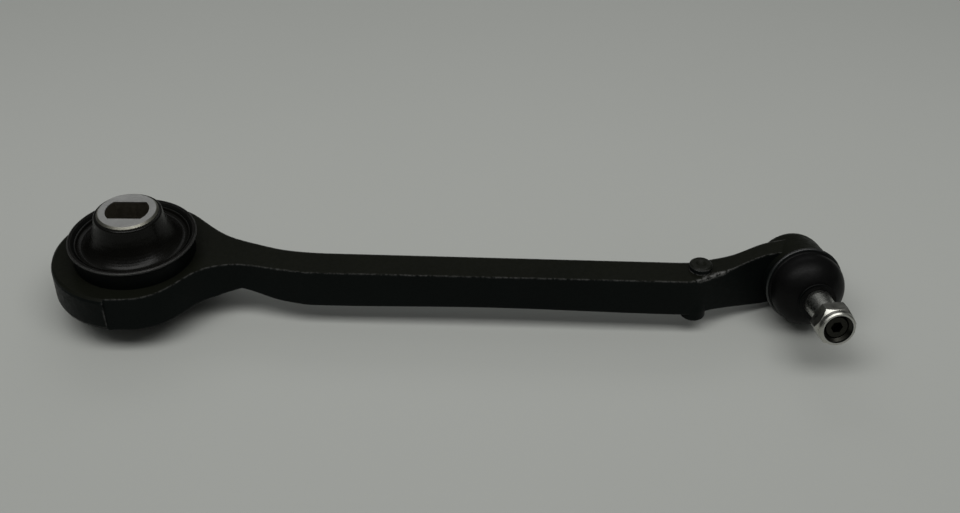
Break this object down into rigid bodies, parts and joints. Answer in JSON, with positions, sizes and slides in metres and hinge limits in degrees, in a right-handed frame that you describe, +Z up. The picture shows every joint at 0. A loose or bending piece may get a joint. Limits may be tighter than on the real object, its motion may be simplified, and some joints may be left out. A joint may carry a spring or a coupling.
{
  "type": "control arm",
  "caption": "Forged suspension control arm: fluid-filled bushing with a slotted sleeve in the round eye, straight bar, ball joint with boot and lock nut at the far end.",
  "frame": {"origin": "bushing axis at the lower end face of the inner sleeve", "axes": "+Z up along the bushing axis, +X from the bushing towards the ball joint, -Y the side the ball stud points to"},
  "size_m": [0.4611, 0.1111, 0.07],
  "materials": {
    "forged_steel": "black satin coating over forged skin",
    "pin_steel": "black coating, worn at the button head",
    "can_steel": "black phosphated drawn steel",
    "sleeve_aluminium": "satin machined",
    "bushing_rubber": "dull moulded rubber",
    "cage_steel": "stamped, plain",
    "channel_plastic": "glass-filled, matte",
    "seal_rubber": "matte",
    "stop_plastic": "natural nylon, matte",
    "stud_steel": "turned and ground",
    "nut_zinc": "zinc plated",
    "seat_plastic": "white acetal",
    "take_up_rubber": "matte",
    "cover_steel": "black coating",
    "boot_rubber": "smooth moulded rubber",
    "ring_steel": "blackened spring wire",
    "collar_plastic": "matte black"
  },
  "bodies": {
    "arm": {"arm_forging": "forged_steel", "locating_pin": "pin_steel", "bushing_outer_can": "can_steel", "bushing_window_cage": "cage_steel", "channel_ring_near": "channel_plastic", "channel_ring_far": "channel_plastic", "upper_seal_ring": "seal_rubber", "lower_seal_ring": "seal_rubber", "ball_seat": "seat_plastic", "seat_ring": "take_up_rubber", "closure_cover": "cover_steel", "boot_large_ring": "ring_steel"},
    "bushing_core": {"bushing_rubber_body": "bushing_rubber"},
    "sleeve": {"bushing_inner_sleeve": "sleeve_aluminium", "travel_stop": "stop_plastic"},
    "boot": {"dust_boot": "boot_rubber"},
    "boot_neck": {"boot_small_ring": "ring_steel", "boot_collar": "collar_plastic"},
    "stud": {"ball_stud": "stud_steel", "lock_nut": "nut_zinc"}
  },
  "joints": [
    {"name": "bushing_tilt", "type": "hinge", "parent": "arm", "child": "bushing_core", "pos_m": [0, 0, 0.0287], "axis": [0, 1, 0], "range_deg": [-3, 3], "stiffness_Nm_per_rad": 250, "deforming": ["bushing_rubber_body"]},
    {"name": "bushing_twist", "type": "hinge", "parent": "bushing_core", "child": "sleeve", "pos_m": [0, 0, 0.0287], "axis": [0, 0, 1], "range_deg": [-18, 18], "stiffness_Nm_per_rad": 85, "deforming": ["bushing_rubber_body"]},
    {"name": "stud_swing_side", "type": "hinge", "parent": "arm", "child": "boot", "pos_m": [0.389, -0.0013, 0.0251], "axis": [-0.0277, 0.1974, 0.9799], "range_deg": [-16, 16], "deforming": ["dust_boot"]},
    {"name": "stud_swing_lift", "type": "hinge", "parent": "boot", "child": "boot_neck", "pos_m": [0.389, -0.0013, 0.0251], "axis": [0.9903, 0.1392, 0], "range_deg": [-18, 14], "deforming": ["dust_boot"]},
    {"name": "stud_spin", "type": "hinge", "parent": "boot_neck", "child": "stud", "pos_m": [0.389, -0.0013, 0.0251], "axis": [0.1364, -0.9704, 0.1994], "continuous": true, "deforming": ["dust_boot"]}
  ]
}
